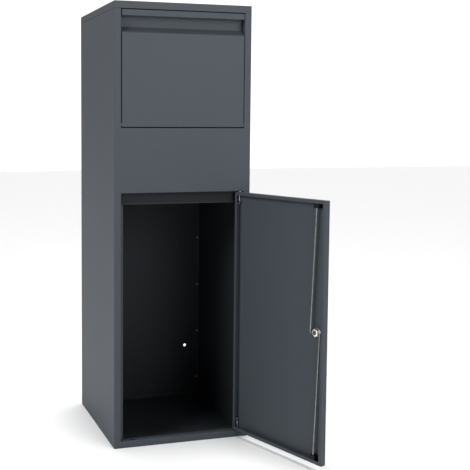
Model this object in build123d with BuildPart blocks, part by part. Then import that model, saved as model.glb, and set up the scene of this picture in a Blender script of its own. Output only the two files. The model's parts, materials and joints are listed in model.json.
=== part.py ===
from build123d import *
import os
from math import acos, atan2, cos, radians, sin, sqrt, tan

# Parcel drop box, in mm. +X is to the viewer's right, +Y goes into the box and +Z is up.
# The origin is the centre of the cabinet's base, on the floor.

# ---- Cabinet ----
cabinet_width = 400.0
cabinet_depth = 430.0
sill_height = 18.0
door_opening_height = 699.0
middle_panel_height = 180.0
hatch_opening_height = 323.0
roof_skirt = 20.0
stile_width = 20.0
sheet = 1.5
bend = 2.0
seam_gap = 0.6
window_return = 21.0
stop_flange = 10.0
side_lap = 20.0
rear_flange = 15.0
upstand_lap = 14.0
floor_edge = 15.0

# ---- Fixing holes ----
anchor_hole = 10.0
anchor_spacing_x = 300.0
anchor_spacing_y = 320.0
wall_hole = 10.0
wall_hole_spacing_x = 300.0
wall_hole_spacing_z = 900.0
wall_hole_centre_z = 620.0

# ---- Lower door ----
door_gap = 2.0
door_thickness = 17.0
door_lip = 9.0
door_open_angle = 108.5
hinge_from_jamb = 9.0
hinge_behind_face = 5.3
hinge_pin = 5.0
hinge_pin_above_door = 12.0
hinge_pin_travel = 12.0
hinge_pin_edge = 1.0
pin_hook_length = 10.0
pin_hook_depth = 32.5
pin_collar = 7.0
pin_collar_thickness = 2.0
ear_thickness = 2.0
outer_ear_depth = 5.0
inner_ear_depth = 27.0
ear_reach = 5.5
ear_width = 10.0
washer_diameter = 12.0
washer_thickness = 1.7
spring_wire = 0.8
spring_turns = 6

# ---- Lock and rods ----
lock_from_edge = 34.0
lock_barrel = 19.0
lock_flange = 25.0
lock_flange_thickness = 3.0
lock_flange_chamfer = 1.0
plug_diameter = 15.0
plug_inset = 0.5
key_slot_width = 2.4
key_slot_height = 9.0
key_slot_depth = 3.0
lock_nut_flats = 22.0
lock_nut_thickness = 4.0
stem_diameter = 12.0
cam_throw = 17.0
cam_thickness = 2.0
cam_hub = 20.0
cam_end = 11.0
cam_nut_flats = 21.0
cam_nut_thickness = 6.0
rod_diameter = 5.0
rod_bend = 3.0
rod_drift = 5.0
clip_diameter = 7.6
clip_thickness = 1.0
guide_width = 18.0
guide_height = 19.5
strike_width = 18.0
strike_depth = 8.0

# ---- Hatch and hopper ----
hatch_gap = 2.0
hatch_return = 20.0
hatch_lip = 17.4
grip_height = 29.4
grip_slope_height = 16.0
grip_depth = 21.0
pivot_behind_face = 6.0
pivot_above_edge = 7.0
pivot_pin = 6.0
pivot_head = 8.0
pivot_head_thickness = 2.5
pivot_reach = 6.0
cheek_radius = 293.5
cheek_inset = 0.5
chute_front = 24.5
chute_slope = 30.0
chute_length = 240.0
chute_end_lip = 10.0
chute_side_flange = 14.0
stop_lug_height = 12.5
stop_lug_from = 38.0
stop_lug_to = 41.0
head_rail_depth = 34.0
head_rail_foot = 12.0
head_rail_setback = 23.0
bumper_diameter = 12.0
bumper_spacing = 240.0

# ---- Head stop and baffle ----
head_stop_height = 33.0
head_stop_fold = 8.0
baffle_clearance = 30.0
baffle_tip_angle = 18.0
baffle_slope = 28.0
baffle_flange = 25.0
baffle_lip = 8.0
baffle_side_gap = 8.0
baffle_bolt_spacing = 240.0
baffle_bolt = 6.0
baffle_bolt_head = 13.2
baffle_nut_flats = 10.0
baffle_nut_thickness = 5.0

# ---- Rivets ----
rivet_shank = 4.0
rivet_head = 7.0
rivet_head_height = 1.2
rivet_tail = 5.6
back_rivet_count = 8
back_rivet_margin = 60.0
chute_rivet_shares = (0.2, 0.5, 0.8)

# ---- Clearances ----
running = 0.05
loose = 0.1
rest_gap = 0.3
plate_gap = 0.7

# ---- Worked-out places ----
side_x = cabinet_width / 2
front_y = -cabinet_depth / 2
back_y = cabinet_depth / 2
opening_x = side_x - stile_width
inner_x = side_x - sheet
door_window_bottom = sill_height
door_window_top = sill_height + door_opening_height
hatch_window_bottom = door_window_top + middle_panel_height
hatch_window_top = hatch_window_bottom + hatch_opening_height
cabinet_height = hatch_window_top + roof_skirt
body_top = hatch_window_top - seam_gap
roof_underside = cabinet_height - sheet
inner_bend = bend - sheet
upstand_top = roof_underside - inner_bend
return_y = front_y + window_return
seam_y = front_y + side_lap
back_panel_y = back_y - sheet

door_x = opening_x - door_gap
door_bottom = door_window_bottom + door_gap
door_top = door_window_top - door_gap
door_middle = (door_bottom + door_top) / 2
door_back_y = front_y + door_thickness
skin_y = front_y + sheet
hinge_x = opening_x - hinge_from_jamb
hinge_y = front_y + hinge_behind_face
hinge_line = Axis((hinge_x, hinge_y, 0), (0, 0, 1))

lock_x = -door_x + lock_from_edge
lock_nut_y = skin_y + lock_nut_thickness
barrel_end_y = lock_nut_y + rest_gap
cam_y = barrel_end_y + plate_gap
cam_back_y = cam_y + cam_thickness
cam_nut_y = cam_back_y + cam_nut_thickness
rod_y = cam_back_y + rod_bend + loose
rod_hook_y = cam_y - clip_thickness - 2 * rest_gap
lock_axis = Axis((lock_x, 0, door_middle), (0, 1, 0))

hatch_x = opening_x - hatch_gap
hatch_bottom = hatch_window_bottom + hatch_gap
hatch_top = hatch_window_top - hatch_gap
pivot_y = front_y + pivot_behind_face
pivot_z = hatch_bottom + pivot_above_edge
cheek_x = hatch_x - cheek_inset
cheek_inner_x = cheek_x - sheet
head_rail_y = front_y + head_rail_setback


# ---- Small helpers ----
def block(x_range, y_range, z_range, mode=Mode.ADD):
    """Add or cut a block between two limits along each axis."""
    limits = (x_range, y_range, z_range)
    with Locations(tuple((low + high) / 2 for low, high in limits)):
        Box(*(high - low for low, high in limits), mode=mode)


def folded_sheet(plane, outline, inner_side, distance, both=False, radius=bend):
    """Add a strip of sheet folded along an outline, with rounded bends."""
    with BuildSketch(plane) as profile:
        with BuildLine():
            FilletPolyline(*outline, radius=radius)
            offset(amount=sheet, side=inner_side)
        make_face()
    extrude(profile.sketch, amount=distance, both=both)


def upright_hole(x, y, z_low, z_high, diameter):
    """Cut a round hole along Z between two heights."""
    with Locations((x, y, (z_low + z_high) / 2)):
        Cylinder(diameter / 2, z_high - z_low, mode=Mode.SUBTRACT)


def cylinder_along_y(x, z, y_low, y_high, diameter, mode=Mode.ADD):
    """Add or cut a cylinder along Y between two depths."""
    with Locations(Location((x, (y_low + y_high) / 2, z), (90, 0, 0))):
        Cylinder(diameter / 2, y_high - y_low, mode=mode)


def cylinder_along_x(y, z, x_low, x_high, diameter, mode=Mode.ADD):
    """Add or cut a cylinder along X between two places."""
    with Locations(Location(((x_low + x_high) / 2, y, z), (0, 90, 0))):
        Cylinder(diameter / 2, x_high - x_low, mode=mode)


def hex_nut(x, z, y_low, y_high, across_flats, hole):
    """Add a hexagonal nut along Y, with a point up."""
    with BuildSketch(Plane.XZ.offset(-y_low)) as face:
        with Locations((x, z)):
            RegularPolygon(across_flats / 2, 6, major_radius=False, rotation=30)
            Circle(hole / 2, mode=Mode.SUBTRACT)
    extrude(face.sketch, amount=-(y_high - y_low))


def mirrored_left_right(piece):
    """Copy a finished piece to the other side of the cabinet's middle plane."""
    mirror(piece.part, about=Plane.YZ)


def mirrored_top_bottom(piece):
    """Copy a finished door piece to the other end of the door."""
    mirror(piece.part, about=Plane.XY.offset(door_middle))


# ================= Cabinet =================

with BuildPart() as front_frame:
    stile_outline = [
        (side_x, seam_y),
        (side_x, front_y),
        (opening_x, front_y),
        (opening_x, return_y),
    ]
    folded_sheet(Plane.XY, stile_outline, Side.RIGHT, body_top)
    block(
        (opening_x - stop_flange, opening_x + sheet),
        (return_y - sheet, return_y),
        (door_window_bottom, door_window_top),
    )
    mirror(about=Plane.YZ)
    middle_outline = [
        (return_y, door_window_top),
        (front_y, door_window_top),
        (front_y, hatch_window_bottom),
        (return_y, hatch_window_bottom),
    ]
    folded_sheet(Plane.YZ, middle_outline, Side.RIGHT, opening_x + sheet, both=True)
    sill_outline = [
        (front_y, 0),
        (front_y, sill_height),
        (return_y, sill_height),
    ]
    folded_sheet(Plane.YZ, sill_outline, Side.RIGHT, opening_x + sheet, both=True)
    face_x = (-(side_x - bend), side_x - bend)
    face_y = (front_y, skin_y)
    block(face_x, face_y, (door_window_top + bend, hatch_window_bottom - bend))
    block(face_x, face_y, (0, sill_height - bend))
    for low, high in (
        (door_window_bottom - sheet, door_window_bottom),
        (door_window_top, door_window_top + sheet),
    ):
        upright_hole(hinge_x, hinge_y, low, high, hinge_pin + 2 * running)
        block(
            (lock_x - strike_width / 2, lock_x + strike_width / 2),
            (rod_y - strike_depth / 2, rod_y + strike_depth / 2),
            (low, high),
            mode=Mode.SUBTRACT,
        )
    for hand in (-1, 1):
        cylinder_along_x(
            pivot_y,
            pivot_z,
            hand * (opening_x + sheet / 2) - sheet,
            hand * (opening_x + sheet / 2) + sheet,
            pivot_pin,
            mode=Mode.SUBTRACT,
        )
front_frame.part.label = "front_frame"

back_rivet_zs = [
    back_rivet_margin + i * (body_top - 2 * back_rivet_margin) / (back_rivet_count - 1)
    for i in range(back_rivet_count)
]
back_rivet_x = side_x - rear_flange / 2

with BuildPart() as right_side_panel:
    side_outline = [
        (side_x, seam_y),
        (side_x, back_y),
        (side_x - rear_flange, back_y),
    ]
    folded_sheet(Plane.XY, side_outline, Side.LEFT, body_top)
    block(
        (inner_x - sheet, inner_x),
        (seam_y + sheet, back_panel_y - sheet - bend),
        (body_top - upstand_lap, upstand_top),
    )
    for rivet_z in back_rivet_zs:
        cylinder_along_y(
            back_rivet_x, rivet_z, back_panel_y - sheet, back_y + sheet, rivet_shank, mode=Mode.SUBTRACT
        )
right_side_panel.part.label = "right_side_panel"

with BuildPart() as left_side_panel:
    mirrored_left_right(right_side_panel)
left_side_panel.part.label = "left_side_panel"

baffle_bolt_z_above_bend = baffle_flange / 2 + bend / 2
baffle_reach = cheek_radius + baffle_clearance
baffle_tip_y = pivot_y + baffle_reach * cos(radians(baffle_tip_angle))
baffle_tip_z = pivot_z + baffle_reach * sin(radians(baffle_tip_angle))
baffle_root_y = back_panel_y - sheet
baffle_root_z = baffle_tip_z + (baffle_root_y - baffle_tip_y) * tan(radians(baffle_slope))
baffle_bolt_z = baffle_root_z + baffle_bolt_z_above_bend

with BuildPart() as back_panel:
    block(
        (-(inner_x - bend), inner_x - bend),
        (back_panel_y - sheet, back_panel_y),
        (0, upstand_top),
    )
    for hand in (-1, 1):
        for rivet_z in back_rivet_zs:
            cylinder_along_y(
                hand * back_rivet_x,
                rivet_z,
                back_panel_y - 2 * sheet,
                back_y,
                rivet_shank,
                mode=Mode.SUBTRACT,
            )
        for level in (-1, 1):
            cylinder_along_y(
                hand * wall_hole_spacing_x / 2,
                wall_hole_centre_z + level * wall_hole_spacing_z / 2,
                back_panel_y - 2 * sheet,
                back_y,
                wall_hole,
                mode=Mode.SUBTRACT,
            )
        cylinder_along_y(
            hand * baffle_bolt_spacing / 2,
            baffle_bolt_z,
            back_panel_y - 2 * sheet,
            back_y,
            baffle_bolt,
            mode=Mode.SUBTRACT,
        )
back_panel.part.label = "back_panel"

with BuildPart() as back_panel_rivets:
    for hand in (-1, 1):
        for rivet_z in back_rivet_zs:
            head_end = back_y + rivet_head_height
            tail_y = back_panel_y - sheet
            cylinder_along_y(hand * back_rivet_x, rivet_z, tail_y, back_y, rivet_shank - 2 * running)
            cylinder_along_y(hand * back_rivet_x, rivet_z, back_y, head_end, rivet_head)
            cylinder_along_y(
                hand * back_rivet_x, rivet_z, tail_y - rivet_head_height, tail_y, rivet_tail
            )
back_panel_rivets.part.label = "back_panel_rivets"

with BuildPart() as roof_cover:
    block((-side_x, side_x), (front_y, back_y), (hatch_window_top, cabinet_height))
    fillet(roof_cover.faces().sort_by(Axis.Z)[-1].edges() + roof_cover.edges().filter_by(Axis.Z), bend)
    offset(amount=-sheet, openings=roof_cover.faces().sort_by(Axis.Z)[0])
roof_cover.part.label = "roof_cover"

with BuildPart() as floor_panel:
    floor_front = return_y
    block((-inner_x, inner_x), (floor_front, back_panel_y - sheet), (0, floor_edge))
    offset(amount=-sheet, openings=floor_panel.faces().sort_by(Axis.Z)[-1])
    with GridLocations(anchor_spacing_x, anchor_spacing_y, 2, 2):
        Cylinder(anchor_hole / 2, 4 * sheet, mode=Mode.SUBTRACT)
floor_panel.part.label = "floor_panel"

with BuildPart() as head_stop:
    block(
        (-opening_x, opening_x),
        (return_y, return_y + sheet),
        (door_window_top - head_stop_height, door_window_top),
    )
    block(
        (-(opening_x - stop_flange), opening_x - stop_flange),
        (return_y - sheet, return_y),
        (door_window_top - head_stop_fold, door_window_top),
    )
head_stop.part.label = "head_stop"

with BuildPart() as hatch_head_rail:
    rail_outline = [
        (head_rail_y, roof_underside - head_rail_depth + sheet),
        (head_rail_y, roof_underside),
        (head_rail_y + head_rail_foot, roof_underside),
    ]
    folded_sheet(Plane.YZ, rail_outline, Side.RIGHT, inner_x - sheet, both=True)
hatch_head_rail.part.label = "hatch_head_rail"

with BuildPart() as hatch_bumpers:
    hatch_return_end = front_y + hatch_return
    for hand in (-1, 1):
        cylinder_along_y(
            hand * bumper_spacing / 2,
            hatch_top - bumper_diameter / 2 + sheet,
            hatch_return_end + rest_gap,
            head_rail_y,
            bumper_diameter,
        )
hatch_bumpers.part.label = "hatch_bumpers"

with BuildPart() as anti_theft_baffle:
    baffle_outline = [
        (baffle_root_y, baffle_root_z + baffle_flange),
        (baffle_root_y, baffle_root_z),
        (baffle_tip_y, baffle_tip_z),
        (baffle_tip_y, baffle_tip_z - baffle_lip),
    ]
    folded_sheet(Plane.YZ, baffle_outline, Side.RIGHT, inner_x - baffle_side_gap, both=True)
    for hand in (-1, 1):
        cylinder_along_y(
            hand * baffle_bolt_spacing / 2,
            baffle_bolt_z,
            baffle_root_y - 2 * sheet,
            baffle_root_y + sheet,
            baffle_bolt,
            mode=Mode.SUBTRACT,
        )
anti_theft_baffle.part.label = "anti_theft_baffle"

with BuildPart() as baffle_bolts:
    bolt_head_height = baffle_bolt / 2
    for hand in (-1, 1):
        bolt_x = hand * baffle_bolt_spacing / 2
        plate_inside = baffle_root_y - sheet
        nut_end = plate_inside - baffle_nut_thickness
        shank = baffle_bolt - 2 * running
        cylinder_along_y(bolt_x, baffle_bolt_z, nut_end - bolt_head_height, back_panel_y, shank)
        cylinder_along_y(
            bolt_x, baffle_bolt_z, back_panel_y, back_panel_y + bolt_head_height, baffle_bolt_head
        )
        hex_nut(bolt_x, baffle_bolt_z, nut_end, plate_inside, baffle_nut_flats, shank)
baffle_bolts.part.label = "baffle_bolts"

with BuildPart() as hopper_pivot_pins:
    for hand in (-1, 1):
        pin_inner = hand * (cheek_x - pivot_reach)
        jamb_back = hand * (opening_x + sheet)
        head_back = hand * (opening_x + sheet + pivot_head_thickness)
        cylinder_along_x(pivot_y, pivot_z, *sorted((pin_inner, jamb_back)), pivot_pin)
        cylinder_along_x(pivot_y, pivot_z, *sorted((jamb_back, head_back)), pivot_head)
hopper_pivot_pins.part.label = "hopper_pivot_pins"

with BuildPart() as hinge_washers:
    for low in (door_window_bottom, door_window_top - washer_thickness):
        with Locations((hinge_x, hinge_y, low + washer_thickness / 2)):
            Cylinder(washer_diameter / 2, washer_thickness)
        upright_hole(hinge_x, hinge_y, low, low + washer_thickness, hinge_pin + 2 * running)
hinge_washers.part.label = "hinge_washers"

# ================= Hopper hatch =================

with BuildPart() as hatch_front:
    grip_top = hatch_top - hatch_lip
    grip_bottom = grip_top - grip_height
    slope_bottom = grip_bottom - grip_slope_height
    grip_y = front_y + grip_depth
    hatch_outline = [
        (front_y + hatch_return, hatch_bottom),
        (front_y, hatch_bottom),
        (front_y, slope_bottom),
        (grip_y, grip_bottom),
        (grip_y, grip_top),
        (front_y, grip_top),
        (front_y, hatch_top),
        (front_y + hatch_return, hatch_top),
    ]
    folded_sheet(Plane.YZ, hatch_outline, Side.RIGHT, hatch_x, both=True)
hatch_front.part.label = "hatch_front"

slope = radians(chute_slope)
chute_top_z = hatch_bottom + 2 * sheet
chute_fold_y = front_y + chute_front + sheet
along = Vector(cos(slope), -sin(slope))
up_from_chute = Vector(sin(slope), cos(slope))
chute_fold = Vector(chute_fold_y, chute_top_z)
chute_end = chute_fold + along * chute_length
chute_rivet_steps = [chute_length * share for share in chute_rivet_shares]
rivet_rise = up_from_chute * (chute_side_flange / 2)
chute_rivets = [chute_fold + along * step + rivet_rise for step in chute_rivet_steps]


def chute_point(step, rise):
    """A point of the chute's side view: how far down the slope, and how far above its face."""
    spot = chute_fold + along * step + up_from_chute * rise
    return (spot.X, spot.Y)


def cheek_arc_point(angle):
    """A point on the cheek's round edge, by its angle above the horizontal."""
    return (pivot_y + cheek_radius * cos(angle), pivot_z + cheek_radius * sin(angle))


with BuildPart() as hopper_right_cheek:
    grip_back_y = grip_y + sheet
    slope_length = sqrt(grip_depth**2 + grip_slope_height**2)
    sheet_drop = sheet * (slope_length - grip_slope_height) / grip_depth
    face_end_z = slope_bottom - sheet_drop
    recess_z = grip_bottom - sheet_drop
    top_angle = acos((grip_back_y - pivot_y) / cheek_radius)
    fold_from_pivot = Vector(chute_fold.X - pivot_y, chute_fold.Y - sheet - pivot_z)
    reach = fold_from_pivot.dot(along)
    end_step = -reach + sqrt(reach**2 - fold_from_pivot.dot(fold_from_pivot) + cheek_radius**2)
    end_spot = fold_from_pivot + along * end_step
    end_angle = atan2(end_spot.Y, end_spot.X)
    with BuildSketch(Plane.YZ.offset(cheek_inner_x)) as cheek_shape:
        with BuildLine():
            Polyline(
                (chute_fold.X, chute_fold.Y - sheet),
                (skin_y + bend, chute_fold.Y - sheet),
                (skin_y, chute_fold.Y - sheet + bend),
                (skin_y, face_end_z),
                (grip_back_y, recess_z),
                cheek_arc_point(top_angle),
            )
            ThreePointArc(
                cheek_arc_point(top_angle),
                cheek_arc_point((top_angle + end_angle) / 2),
                cheek_arc_point(end_angle),
            )
            Line(cheek_arc_point(end_angle), (chute_fold.X, chute_fold.Y - sheet))
        make_face()
        lug_angles = (radians(stop_lug_from), radians(stop_lug_to))
        lug_radii = (cheek_radius - sheet, cheek_radius + stop_lug_height)
        lug_corners = [
            (pivot_y + radius * cos(angle), pivot_z + radius * sin(angle))
            for angle, radius in (
                (lug_angles[0], lug_radii[0]),
                (lug_angles[0], lug_radii[1]),
                (lug_angles[1], lug_radii[1]),
                (lug_angles[1], lug_radii[0]),
            )
        ]
        with BuildLine():
            Polyline(*lug_corners, close=True)
        make_face()
        with Locations((pivot_y, pivot_z)):
            Circle(pivot_pin / 2 + running, mode=Mode.SUBTRACT)
        with Locations(*((spot.X, spot.Y) for spot in chute_rivets)):
            Circle(rivet_shank / 2, mode=Mode.SUBTRACT)
    extrude(amount=sheet)
hopper_right_cheek.part.label = "hopper_right_cheek"

with BuildPart() as hopper_left_cheek:
    mirrored_left_right(hopper_right_cheek)
hopper_left_cheek.part.label = "hopper_left_cheek"

with BuildPart() as hopper_floor:
    floor_outline = [
        (skin_y + bend, chute_top_z),
        chute_point(0, 0),
        chute_point(chute_length, 0),
        chute_point(chute_length, -chute_end_lip),
    ]
    folded_sheet(Plane.YZ, floor_outline, Side.RIGHT, cheek_inner_x, both=True)
    flange_from = 2 * bend + sheet
    flange_to = chute_length - 2 * bend - sheet
    flange_outline = [
        chute_point(flange_from, -sheet / 2),
        chute_point(flange_from + chute_side_flange / 2, chute_side_flange),
        chute_point(flange_to - chute_side_flange / 2, chute_side_flange),
        chute_point(flange_to, -sheet / 2),
    ]
    for flange_x in (-cheek_inner_x, cheek_inner_x - sheet):
        with BuildSketch(Plane.YZ.offset(flange_x)) as flange_shape:
            with BuildLine():
                Polyline(*flange_outline, close=True)
            make_face()
            with Locations(*((spot.X, spot.Y) for spot in chute_rivets)):
                Circle(rivet_shank / 2, mode=Mode.SUBTRACT)
        extrude(flange_shape.sketch, amount=sheet)
hopper_floor.part.label = "hopper_floor"

with BuildPart() as hopper_rivets:
    for hand in (-1, 1):
        for spot in chute_rivets:
            joint_inside = hand * (cheek_inner_x - sheet)
            joint_outside = hand * cheek_x
            tail_end = joint_inside - hand * rivet_head_height
            head_end = joint_outside + hand * rivet_head_height
            shank_ends = sorted((joint_inside, joint_outside))
            cylinder_along_x(spot.X, spot.Y, *shank_ends, rivet_shank - 2 * running)
            cylinder_along_x(spot.X, spot.Y, *sorted((joint_outside, head_end)), rivet_head)
            cylinder_along_x(spot.X, spot.Y, *sorted((tail_end, joint_inside)), rivet_tail)
hopper_rivets.part.label = "hopper_rivets"

# ================= Lower door, drawn closed =================

with BuildPart() as door_panel:
    block((-door_x, door_x), (front_y, door_back_y), (door_bottom, door_top))
    fillet(door_panel.faces().sort_by(Axis.Y)[0].edges(), bend)
    offset(amount=-sheet, openings=door_panel.faces().sort_by(Axis.Y)[-1])
    with BuildSketch(Plane.XZ.offset(-door_back_y)) as lips:
        with Locations((0, door_middle)):
            Rectangle(2 * door_x, door_top - door_bottom)
            Rectangle(
                2 * (door_x - door_lip), door_top - door_bottom - 2 * door_lip, mode=Mode.SUBTRACT
            )
    extrude(amount=sheet)
    fillet(door_panel.faces().sort_by(Axis.Y)[-1].outer_wire().edges(), sheet / 2)
    for low, high in ((door_bottom, door_bottom + sheet), (door_top - sheet, door_top)):
        upright_hole(hinge_x, hinge_y, low, high, hinge_pin + 2 * running)
        with Locations((lock_x, rod_y, (low + high) / 2)):
            Box(
                rod_diameter + 2 * rod_drift,
                rod_diameter + 2 * loose,
                high - low,
                mode=Mode.SUBTRACT,
            )
    cylinder_along_y(
        lock_x, door_middle, front_y, skin_y, lock_barrel + 2 * running, mode=Mode.SUBTRACT
    )
door_panel.part.label = "door_panel"

outer_ear_z = door_top - outer_ear_depth
inner_ear_z = door_top - inner_ear_depth
ear_y = (skin_y + inner_bend, hinge_y + ear_reach)
wall_x = door_x - sheet

with BuildPart() as upper_hinge_bracket:
    block((wall_x - sheet, wall_x), ear_y, (inner_ear_z - ear_thickness, outer_ear_z))
    for ear_top in (inner_ear_z, outer_ear_z):
        block((hinge_x - ear_reach, wall_x), ear_y, (ear_top - ear_thickness, ear_top))
        upright_hole(
            hinge_x, hinge_y, ear_top - ear_thickness, ear_top, hinge_pin + 2 * running
        )
upper_hinge_bracket.part.label = "upper_hinge_bracket"

with BuildPart() as lower_hinge_bracket:
    mirrored_top_bottom(upper_hinge_bracket)
lower_hinge_bracket.part.label = "lower_hinge_bracket"

collar_z = outer_ear_z - ear_thickness - rest_gap - pin_collar_thickness

with BuildPart() as upper_hinge_pin:
    pin_tip = (hinge_x, hinge_y, door_top + hinge_pin_above_door)
    pin_elbow = (hinge_x, hinge_y, door_top - pin_hook_depth)
    pin_hook_end = (hinge_x, hinge_y + pin_hook_length, door_top - pin_hook_depth)
    with BuildLine():
        FilletPolyline(pin_tip, pin_elbow, pin_hook_end, radius=rod_bend)
    with BuildSketch(Plane(pin_tip, z_dir=(0, 0, -1))):
        Circle(hinge_pin / 2)
    sweep()
    fillet(upper_hinge_pin.faces().sort_by(Axis.Z)[-1].edges(), hinge_pin_edge)
    with Locations((hinge_x, hinge_y, collar_z + pin_collar_thickness / 2)):
        Cylinder(pin_collar / 2, pin_collar_thickness)
upper_hinge_pin.part.label = "upper_hinge_pin"

with BuildPart() as lower_hinge_pin:
    mirrored_top_bottom(upper_hinge_pin)
lower_hinge_pin.part.label = "lower_hinge_pin"

with BuildPart() as upper_hinge_spring:
    spring_radius = hinge_pin / 2 + loose + spring_wire / 2
    spring_low = inner_ear_z + spring_wire / 2
    spring_height = collar_z - inner_ear_z - spring_wire
    with BuildLine(Plane((hinge_x, hinge_y, spring_low))) as coil:
        Helix(spring_height / spring_turns, spring_height, spring_radius)
    with BuildSketch(Plane(coil.line @ 0, z_dir=coil.line % 0)):
        Circle(spring_wire / 2)
    sweep(is_frenet=True)
upper_hinge_spring.part.label = "upper_hinge_spring"

with BuildPart() as lower_hinge_spring:
    mirrored_top_bottom(upper_hinge_spring)
lower_hinge_spring.part.label = "lower_hinge_spring"

with BuildPart() as upper_rod_guide:
    guide_top = door_top - sheet
    block(
        (lock_x - guide_width / 2, lock_x + guide_width / 2),
        (skin_y + inner_bend, door_back_y - sheet),
        (guide_top - guide_height, guide_top),
    )
    fillet(upper_rod_guide.edges().filter_by(Axis.Y).group_by(Axis.Z)[0], sheet)
    with Locations((lock_x, rod_y, guide_top - guide_height / 2)):
        Box(
            rod_diameter + 2 * rod_drift,
            rod_diameter + 2 * loose,
            guide_height,
            mode=Mode.SUBTRACT,
        )
upper_rod_guide.part.label = "upper_rod_guide"

with BuildPart() as lower_rod_guide:
    mirrored_top_bottom(upper_rod_guide)
lower_rod_guide.part.label = "lower_rod_guide"

with BuildPart() as lock_housing:
    flange_y = front_y - lock_flange_thickness
    cylinder_along_y(lock_x, door_middle, flange_y, front_y, lock_flange)
    chamfer(lock_housing.faces().sort_by(Axis.Y)[0].edges(), lock_flange_chamfer)
    cylinder_along_y(lock_x, door_middle, front_y, barrel_end_y, lock_barrel)
    cylinder_along_y(
        lock_x,
        door_middle,
        flange_y,
        barrel_end_y,
        plug_diameter + 2 * running,
        mode=Mode.SUBTRACT,
    )
lock_housing.part.label = "lock_housing"

with BuildPart() as lock_nut:
    hex_nut(
        lock_x, door_middle, skin_y, lock_nut_y, lock_nut_flats, lock_barrel + 2 * running
    )
lock_nut.part.label = "lock_nut"

with BuildPart() as lock_plug:
    plug_face_y = flange_y + plug_inset
    cylinder_along_y(lock_x, door_middle, plug_face_y, barrel_end_y, plug_diameter)
    cylinder_along_y(
        lock_x, door_middle, barrel_end_y, cam_nut_y + rest_gap, stem_diameter - 2 * running
    )
    block(
        (lock_x - key_slot_width / 2, lock_x + key_slot_width / 2),
        (plug_face_y, plug_face_y + key_slot_depth),
        (door_middle - key_slot_height / 2, door_middle + key_slot_height / 2),
        mode=Mode.SUBTRACT,
    )
lock_plug.part.label = "lock_plug"

with BuildPart() as lock_cam:
    with BuildSketch(Plane.XZ.offset(-cam_y)):
        with Locations((lock_x, door_middle)):
            Circle(cam_hub / 2)
        with Locations((lock_x - cam_throw, door_middle), (lock_x + cam_throw, door_middle)):
            Circle(cam_end / 2)
        make_hull()
        with Locations((lock_x, door_middle)):
            Circle(stem_diameter / 2, mode=Mode.SUBTRACT)
        with Locations((lock_x - cam_throw, door_middle), (lock_x + cam_throw, door_middle)):
            Circle(rod_diameter / 2 + running, mode=Mode.SUBTRACT)
    extrude(amount=-cam_thickness)
lock_cam.part.label = "lock_cam"

with BuildPart() as cam_nut:
    hex_nut(lock_x, door_middle, cam_back_y, cam_nut_y, cam_nut_flats, stem_diameter)
cam_nut.part.label = "cam_nut"

with BuildPart() as upper_rod:
    rod_hook = (lock_x + cam_throw, rod_hook_y, door_middle)
    rod_elbow = (lock_x + cam_throw, rod_y, door_middle)
    rod_tip = (lock_x, rod_y, door_top)
    with BuildLine() as rod_path:
        FilletPolyline(rod_hook, rod_elbow, rod_tip, radius=rod_bend)
    with BuildSketch(Plane(rod_hook, z_dir=(0, 1, 0))):
        Circle(rod_diameter / 2)
    sweep()
upper_rod.part.label = "upper_rod"

with BuildPart() as lower_rod:
    add(upper_rod.part.rotate(lock_axis, 180))
lower_rod.part.label = "lower_rod"

with BuildPart() as upper_rod_clip:
    clip_y = cam_y - rest_gap - clip_thickness
    cylinder_along_y(
        lock_x + cam_throw, door_middle, clip_y, clip_y + clip_thickness, clip_diameter
    )
    cylinder_along_y(
        lock_x + cam_throw,
        door_middle,
        clip_y,
        clip_y + clip_thickness,
        rod_diameter,
        mode=Mode.SUBTRACT,
    )
upper_rod_clip.part.label = "upper_rod_clip"

with BuildPart() as lower_rod_clip:
    add(upper_rod_clip.part.rotate(lock_axis, 180))
lower_rod_clip.part.label = "lower_rod_clip"

# ================= Placing and writing =================

fixed_pieces = [
    front_frame,
    left_side_panel,
    right_side_panel,
    back_panel,
    back_panel_rivets,
    roof_cover,
    floor_panel,
    head_stop,
    hatch_head_rail,
    hatch_bumpers,
    anti_theft_baffle,
    baffle_bolts,
    hopper_pivot_pins,
    hinge_washers,
    hatch_front,
    hopper_left_cheek,
    hopper_right_cheek,
    hopper_floor,
    hopper_rivets,
]
door_pieces = [
    door_panel,
    upper_hinge_bracket,
    lower_hinge_bracket,
    upper_hinge_pin,
    lower_hinge_pin,
    upper_hinge_spring,
    lower_hinge_spring,
    upper_rod_guide,
    lower_rod_guide,
    lock_housing,
    lock_nut,
    lock_plug,
    lock_cam,
    cam_nut,
    upper_rod,
    lower_rod,
    upper_rod_clip,
    lower_rod_clip,
]

# The door and everything on it rests open, swung about the hinge line.
for piece in door_pieces:
    name = piece.part.label
    piece.part = piece.part.rotate(hinge_line, door_open_angle)
    piece.part.label = name

os.makedirs("parts", exist_ok=True)
for piece in fixed_pieces + door_pieces:
    export_step(piece.part, f"parts/{piece.part.label}.step")
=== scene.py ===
"""Finishes, turned and moulded hardware, light and camera for the parcel drop box."""
import json
import logging
import math
from collections.abc import Callable, Sequence
from dataclasses import dataclass, field
from enum import Enum
from functools import partial
from typing import Any

import bmesh
import bpy
from mathutils import Matrix, Vector


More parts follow.
